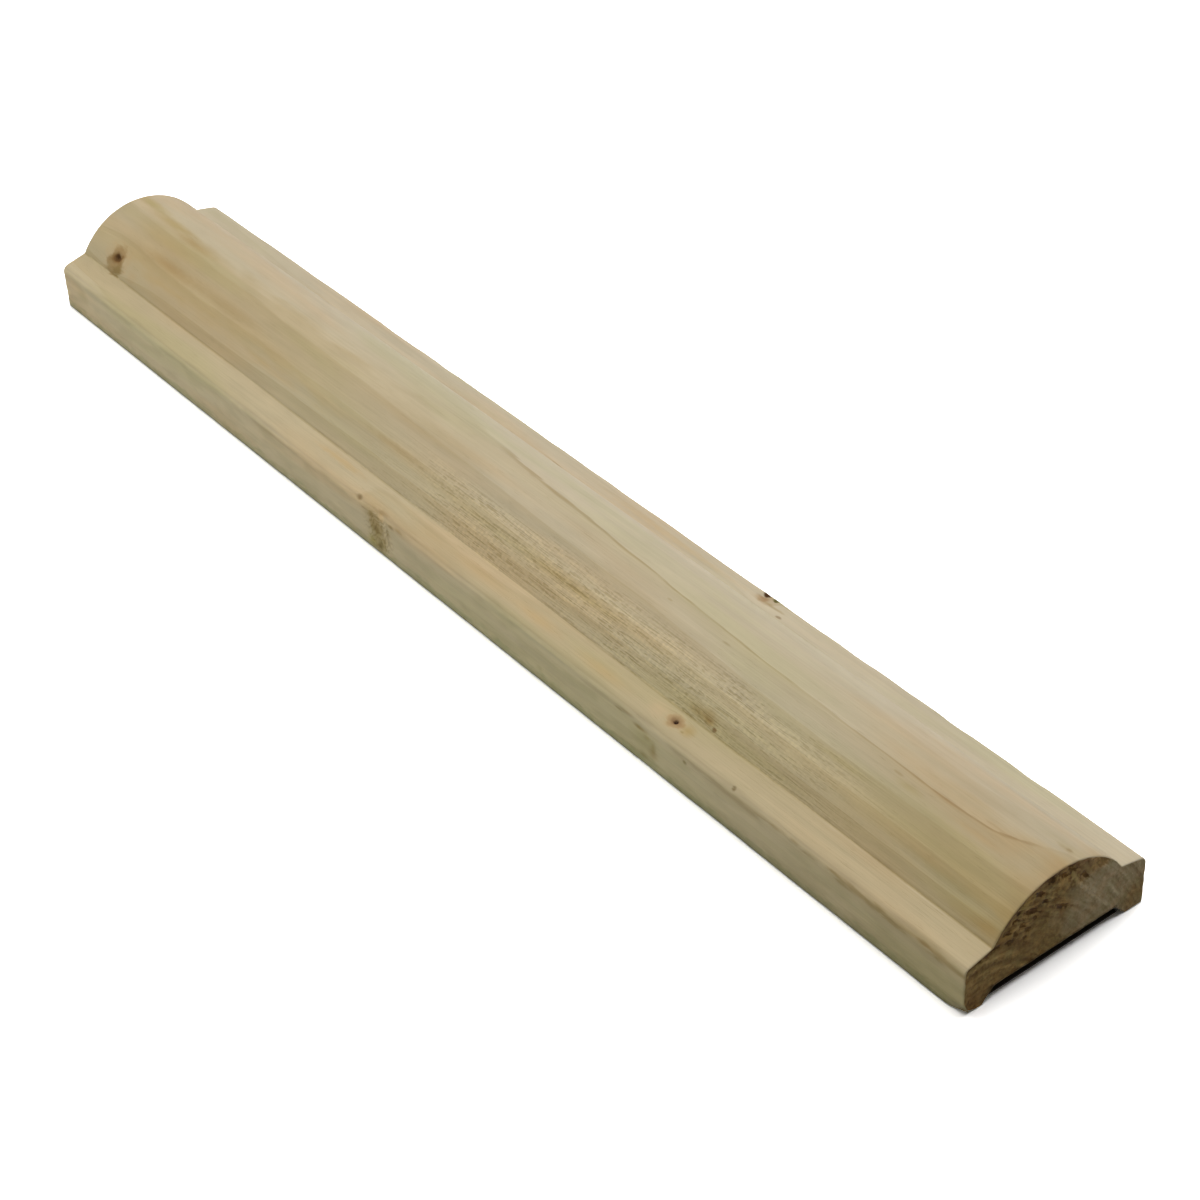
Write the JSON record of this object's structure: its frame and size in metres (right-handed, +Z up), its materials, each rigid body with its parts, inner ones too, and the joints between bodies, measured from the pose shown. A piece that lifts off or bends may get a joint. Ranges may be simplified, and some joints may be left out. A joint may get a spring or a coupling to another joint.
{
  "type": "moulded timber batten",
  "caption": "Length of planed softwood moulding with a half-round bead between two sloping shoulders and a shallow recess underneath, used as a capping or cover batten.",
  "frame": {"origin": "middle of the footprint, on the level of the two feet that the batten lies on", "axes": "+X along the grain to the near sawn end, +Y across the width to the back edge, +Z up through the crown of the bead"},
  "size_m": [0.425, 0.06, 0.029],
  "materials": {
    "treated_softwood": "planed and dry, matt, pale tan with a faint green tint from the preservative, rough brown sawn ends"
  },
  "bodies": {
    "root": {"batten": "treated_softwood"}
  },
  "joints": []
}
